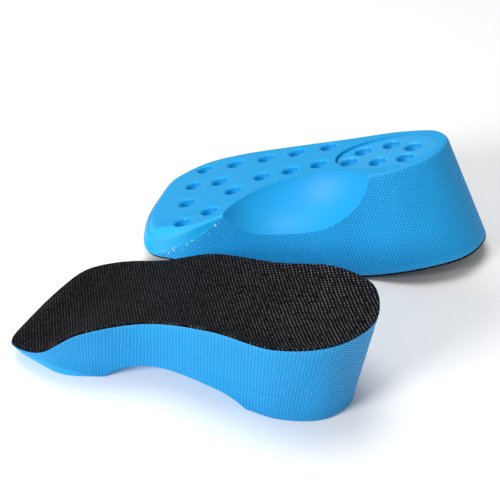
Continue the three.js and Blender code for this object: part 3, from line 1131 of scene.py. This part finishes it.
def run_tree(source, tree, values, name):
    """The plain mesh that the tree makes of an object, with its inputs set by their identifiers."""
    step = source.modifiers.new("nodes", "NODES")
    step.node_group = tree
    for item in tree.interface.items_tree:
        if item.in_out == "INPUT" and item.name in values:
            step[item.identifier] = values[item.name]
    mesh = plain_mesh(source, name)
    source.modifiers.clear()
    if len(mesh.polygons) == 0:
        raise RuntimeError("the tree for " + name + " made nothing")
    return mesh


def finish_tree(graph, inputs, points, copy, rotation, scale):
    """Ends a tree: a copy on each point, made real and given the material."""
    copies = graph.wire(
        "GeometryNodeInstanceOnPoints",
        {},
        {"Points": points, "Instance": copy, "Rotation": rotation, "Scale": scale},
    )
    solid = graph.wire("GeometryNodeRealizeInstances", {}, {"Geometry": copies})
    painted = graph.wire(
        "GeometryNodeSetMaterial", {}, {"Geometry": solid, "Material": inputs["Material"]}
    )
    graph.node("NodeGroupOutput", {}, {"Geometry": painted})


def hole_tree():
    """Flared blind holes on points that hold each hole's share of the depth."""
    sockets = (
        ("Radius", "Float"),
        ("Lip", "Float"),
        ("Depth", "Float"),
        ("Crease", "Float"),
        ("Sides", "Int"),
        ("Material", "Material"),
    )
    tree, graph = new_tree("flared_holes", sockets)
    inputs = tree_inputs(graph)
    blank = graph.wire(
        "GeometryNodeMeshCylinder",
        {"fill_type": "TRIANGLE_FAN"},
        {"Vertices": inputs["Sides"], "Side Segments": 22, "Radius": 1.0, "Depth": 1.0},
    )
    spot = graph.node("ShaderNodeSeparateXYZ", {}, {0: graph.wire("GeometryNodeInputPosition")})
    x, y, z = (Wire(graph, socket) for socket in spot.outputs)
    share = z + 0.5
    flare_turn = graph.maths("MINIMUM", share * 2, 1.0) * (math.pi / 2)
    dome_turn = graph.maths("MAXIMUM", share * 2 - 1, 0.0) * (math.pi / 2)
    flare = inputs["Lip"] * (1 - graph.maths("SINE", flare_turn))
    dome = graph.maths("MAXIMUM", graph.maths("COSINE", dome_turn), 0.02) ** 0.42
    wrinkle = graph.noise(graph.vector(x * 1.6, y * 1.6, share * 0.7), 1.7, 2.0) - 0.5
    deepening = graph.between(share, 0.05, 0.6)
    radius = (inputs["Radius"] + flare) * dome * (1 + wrinkle * inputs["Crease"] * deepening)
    fillet_height = inputs["Lip"] * (1 - graph.maths("COSINE", flare_turn))
    dome_height = (inputs["Depth"] - inputs["Lip"]) * graph.maths("SINE", dome_turn)
    height = fillet_height + dome_height - 0.00002
    there = graph.vector(x * radius, y * radius, height)
    # Each corner keeps its share of the depth, which sets the painted shade inside the holes.
    deep = graph.vector(share, 0.0, 0.0)
    shaped = graph.wire("GeometryNodeSetPosition", {}, {"Geometry": blank, "Position": there})
    cutter = graph.wire(
        "GeometryNodeStoreNamedAttribute",
        {"data_type": "FLOAT2", "domain": "CORNER"},
        {"Geometry": shaped, "Name": "zones", "Value": deep},
    )
    depth_share = graph.wire(
        "GeometryNodeInputNamedAttribute", {"data_type": "FLOAT"}, {"Name": "depth_share"}
    )
    scale = graph.vector(1.0, 1.0, depth_share)
    rotation = graph.vector(0.0, 0.0, graph.random(0.0, CIRCLE, 7))
    finish_tree(graph, inputs, inputs["Geometry"], cutter, rotation, scale)
    return tree


def tuft_tree():
    """Cut yarn ends along a closed line of edges, each pointing across the line."""
    sockets = (
        ("Spacing", "Float"),
        ("Width", "Float"),
        ("Reach", "Float"),
        ("Sides", "Int"),
        ("Material", "Material"),
    )
    tree, graph = new_tree("cut_yarn_ends", sockets)
    inputs = tree_inputs(graph)
    curve = graph.wire("GeometryNodeMeshToCurve", {}, {"Mesh": inputs["Geometry"]})
    dots = graph.wire(
        "GeometryNodeCurveToPoints", {"mode": "LENGTH"}, {"Curve": curve, "Length": inputs["Spacing"]}
    )
    bead = graph.wire(
        "GeometryNodeMeshUVSphere",
        {},
        {"Segments": inputs["Sides"], "Rings": 4, "Radius": 0.5},
    )
    size = graph.random(0.75, 1.2, 11)
    scale = graph.vector(inputs["Width"] * size, inputs["Reach"] * size, inputs["Width"])
    rotation = Wire(graph, dots.socket.node.outputs["Rotation"])
    finish_tree(graph, inputs, dots, bead, rotation, scale)
    return tree


def hole_cutters(name, places, radius, shape, material):
    """One mesh with a cutter for each hole. Each place is x, y, the level of its mouth and its depth."""
    mesh = bpy.data.meshes.new(name)
    mesh.from_pydata([place[:3] for place in places], [], [])
    share = mesh.attributes.new("depth_share", "FLOAT", "POINT")
    share.data.foreach_set("value", [place[3] / shape.hole_depth for place in places])
    points = new_object(name + "_points", mesh)
    values = {
        "Radius": radius,
        "Lip": shape.hole_lip,
        "Depth": shape.hole_depth,
        "Crease": 0.1,
        "Sides": 40,
        "Material": material,
    }
    made = run_tree(points, hole_tree(), values, name)
    remove(points)
    return new_object(name, made)


# ---- Operators -----------------------------------------------------------------------------------------


class INSOLE_OT_foam_bodies(bpy.types.Operator):
    """Moulds both foam bodies, with their holes, arch hollows and pad recesses"""

    bl_idname = "insole.foam_bodies"
    bl_label = "Foam bodies"

    def execute(self, context):
        shape, foam, pad, cover = shape_settings()
        outline = Outline(shape, cover, RIM_POINTS)
        skin = foam_skin(outline)
        body = new_object("foam_blank", skin)
        recess = new_object("recess_blank", recess_skin(pad, shape))
        places = []
        for start, end, count in HOLE_ROWS:
            for index in range(count):
                share = index / (count - 1)
                x = -(start[0] + (end[0] - start[0]) * share) * shape.length
                across = start[1] + (end[1] - start[1]) * share
                reach = shape.outer_reach if across > 0 else shape.inner_reach
                y = across * reach
                depth = min(shape.hole_depth, outline.foam_height(x, y) - shape.hole_roof)
                places.append((x, y, 0.0, depth))
        material = hole_material(foam, "foam_hole_wall")
        holes = hole_cutters("sole_holes", places, shape.hole_radius, shape, material)
        shared = (skin_material(foam), scoop_material(foam))
        hollows = {"right": shape.arch_reach, "left": shape.left_arch_reach}
        reliefs = {"right": foam.right_relief, "left": foam.left_relief}
        walls = {foot: wall_material(foam, foot, reliefs[foot]) for foot in FEET}
        for blank in (body, recess):
            for material in (walls["right"], *shared):
                blank.data.materials.append(material)
        for foot in FEET:
            arch = new_object("arch_blank", arch_skin(outline, hollows[foot]))
            for material in (walls[foot], *shared):
                arch.data.materials.append(material)
            for blank in (body, recess):
                blank.data.materials[WALL_SLOT] = walls[foot]
            mesh = cut(body, arch, recess, holes)
            piece = placed_piece(mesh, foot + "_foam", foot, 28)
            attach(piece, foot + "_insole")
            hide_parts(foot + "_foam_body")
            remove(arch)
        remove(body, recess, holes)
        return {"FINISHED"}


class INSOLE_OT_heel_pads(bpy.types.Operator):
    """Makes both heel pads, with their soft edges and holes"""

    bl_idname = "insole.heel_pads"
    bl_label = "Heel pads"

    def execute(self, context):
        shape, foam, pad, cover = shape_settings()
        body = new_object("pad_blank", pad_skin(pad, shape))
        body.data.materials.append(pad_material(pad))
        _, centre, half_width = oval(pad, shape, 0.0, OVAL_POINTS)
        reach = np.array([pad.length / 2, half_width])
        places = []
        for along, across in PAD_HOLES:
            spot = centre + np.array([along, across]) * reach
            heelward = spot + np.array([pad.hole_radius + shape.hole_lip, 0.0])
            level = float(pad_depth(pad, shape, heelward[None])[0])
            places.append((spot[0], spot[1], level, shape.hole_depth))
        material = hole_material(foam, "pad_hole_wall")
        holes = hole_cutters("pad_holes", places, pad.hole_radius, shape, material)
        mesh = cut(body, holes)
        for foot in FEET:
            piece = placed_piece(mesh, foot + "_pad", foot, 40)
            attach(piece, foot + "_insole")
            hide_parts(foot + "_heel_pad")
        remove(body, holes)
        return {"FINISHED"}


class INSOLE_OT_top_covers(bpy.types.Operator):
    """Lays a woven cover on both insoles, with the cut yarn ends along its edge"""

    bl_idname = "insole.top_covers"
    bl_label = "Top covers"

    def execute(self, context):
        shape, foam, pad, cover = shape_settings()
        outline = Outline(shape, cover, RIM_POINTS)
        mesh = cover_skin(outline, cover.thickness)
        mesh.materials.append(weave_material(cover))
        tuck = YARN_TUCK + TOE_TUCK * outline.toe_share
        edge_ring = outline.inset(outline.below_rim(cover.thickness * 0.5), tuck)
        ring = bpy.data.meshes.new("edge_line")
        links = [(i, (i + 1) % outline.count) for i in range(outline.count)]
        ring.from_pydata([tuple(point) for point in edge_ring], links, [])
        line = new_object("edge_line", ring)
        values = {
            "Spacing": cover.tuft_spacing,
            "Width": cover.thickness * 0.7,
            "Reach": cover.thickness * 0.75,
            "Sides": cover.tuft_sides,
            "Material": tuft_material(cover),
        }
        tufts = run_tree(line, tuft_tree(), values, "cut_yarn_ends")
        remove(line)
        for foot in FEET:
            piece = placed_piece(mesh, foot + "_cover", foot, 50)
            edge = placed_piece(tufts, foot + "_cover_edge", foot, 80)
            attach(piece, foot + "_insole")
            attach(edge, foot + "_insole")
            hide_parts(foot + "_top_cover")
        return {"FINISHED"}


class INSOLE_OT_stage(bpy.types.Operator):
    """Makes the floor, the soft studio light and the camera"""

    bl_idname = "insole.stage"
    bl_label = "Stage"

    def execute(self, context):
        scene = context.scene
        settings = scene.insole_stage
        low, high = CAD_BOX
        size = (high - low).length
        mesh = bpy.data.meshes.new("floor")
        half = FLOOR_REACH * size
        corners = [(-half, -half, low.z), (half, -half, low.z), (half, half, low.z), (-half, half, low.z)]
        mesh.from_pydata(corners, [], [(0, 1, 2, 3)])
        floor = new_object("floor", mesh)
        material, graph = new_material("pale_floor")
        finish_material(graph, settings.floor_colour, 0.8)
        mesh.materials.append(material)
        world = bpy.data.worlds.new("studio")
        world.use_nodes = True
        sky = Graph(world.node_tree)
        glow = sky.wire("ShaderNodeBackground", {}, {"Color": (1.0, 1.0, 1.0, 1.0), "Strength": 0.37})
        sky.node("ShaderNodeOutputWorld", {}, {"Surface": glow})
        scene.world = world
        centre = (low + high) / 2
        for name, spot, width, power in LIGHTS:
            lamp = bpy.data.lights.new(name, "AREA")
            lamp.shape = "DISK"
            lamp.size = width
            lamp.energy = power
            made = new_object(name, lamp)
            made.location = centre + Vector(spot)
            made.rotation_euler = (centre - made.location).to_track_quat("-Z", "Y").to_euler()
        a, e = settings.azimuth, settings.elevation
        back = Vector((math.sin(a) * math.cos(e), -math.cos(a) * math.cos(e), math.sin(e)))
        camera = bpy.data.cameras.new("camera")
        camera.lens = settings.lens
        camera.sensor_width = 36.0
        made = new_object("camera", camera)
        made.location = PLACES["right"] @ Vector(settings.target) + back * settings.distance
        made.rotation_euler = (-back).to_track_quat("-Z", "Y").to_euler()
        scene.camera = made
        scene.view_settings.view_transform = "Standard"
        return {"FINISHED"}


class INSOLE_PT_panel(bpy.types.Panel):
    """Lists the steps and the sizes"""

    bl_idname = "INSOLE_PT_panel"
    bl_label = "Insoles"
    bl_space_type = "VIEW_3D"
    bl_region_type = "UI"
    bl_category = "Insoles"

    def draw(self, context):
        layout = self.layout
        for step in STEPS:
            layout.operator(step.bl_idname)
        scene = context.scene
        for group in (scene.insole_shape, scene.insole_foam, scene.insole_pad, scene.insole_cover):
            box = layout.box()
            for name in group.bl_rna.properties.keys():
                if name not in ("rna_type", "name"):
                    box.prop(group, name)


STEPS = (INSOLE_OT_stage, INSOLE_OT_foam_bodies, INSOLE_OT_heel_pads, INSOLE_OT_top_covers)
GROUPS = {
    "insole_shape": InsoleShapeSettings,
    "insole_foam": FoamSettings,
    "insole_pad": PadSettings,
    "insole_cover": CoverSettings,
    "insole_stage": StageSettings,
}


def register():
    """Registers the settings, the operators and the panel."""
    for name, group in GROUPS.items():
        bpy.utils.register_class(group)
        setattr(bpy.types.Scene, name, PointerProperty(type=group))
    for step in STEPS:
        bpy.utils.register_class(step)
    bpy.utils.register_class(INSOLE_PT_panel)


def unregister():
    """Takes them out again."""
    bpy.utils.unregister_class(INSOLE_PT_panel)
    for step in reversed(STEPS):
        bpy.utils.unregister_class(step)
    for name, group in reversed(GROUPS.items()):
        delattr(bpy.types.Scene, name)
        bpy.utils.unregister_class(group)


def main():
    """Builds everything."""
    register()
    bpy.ops.insole.stage()
    bpy.ops.insole.foam_bodies()
    bpy.ops.insole.heel_pads()
    bpy.ops.insole.top_covers()


if __name__ == "__main__":
    main()
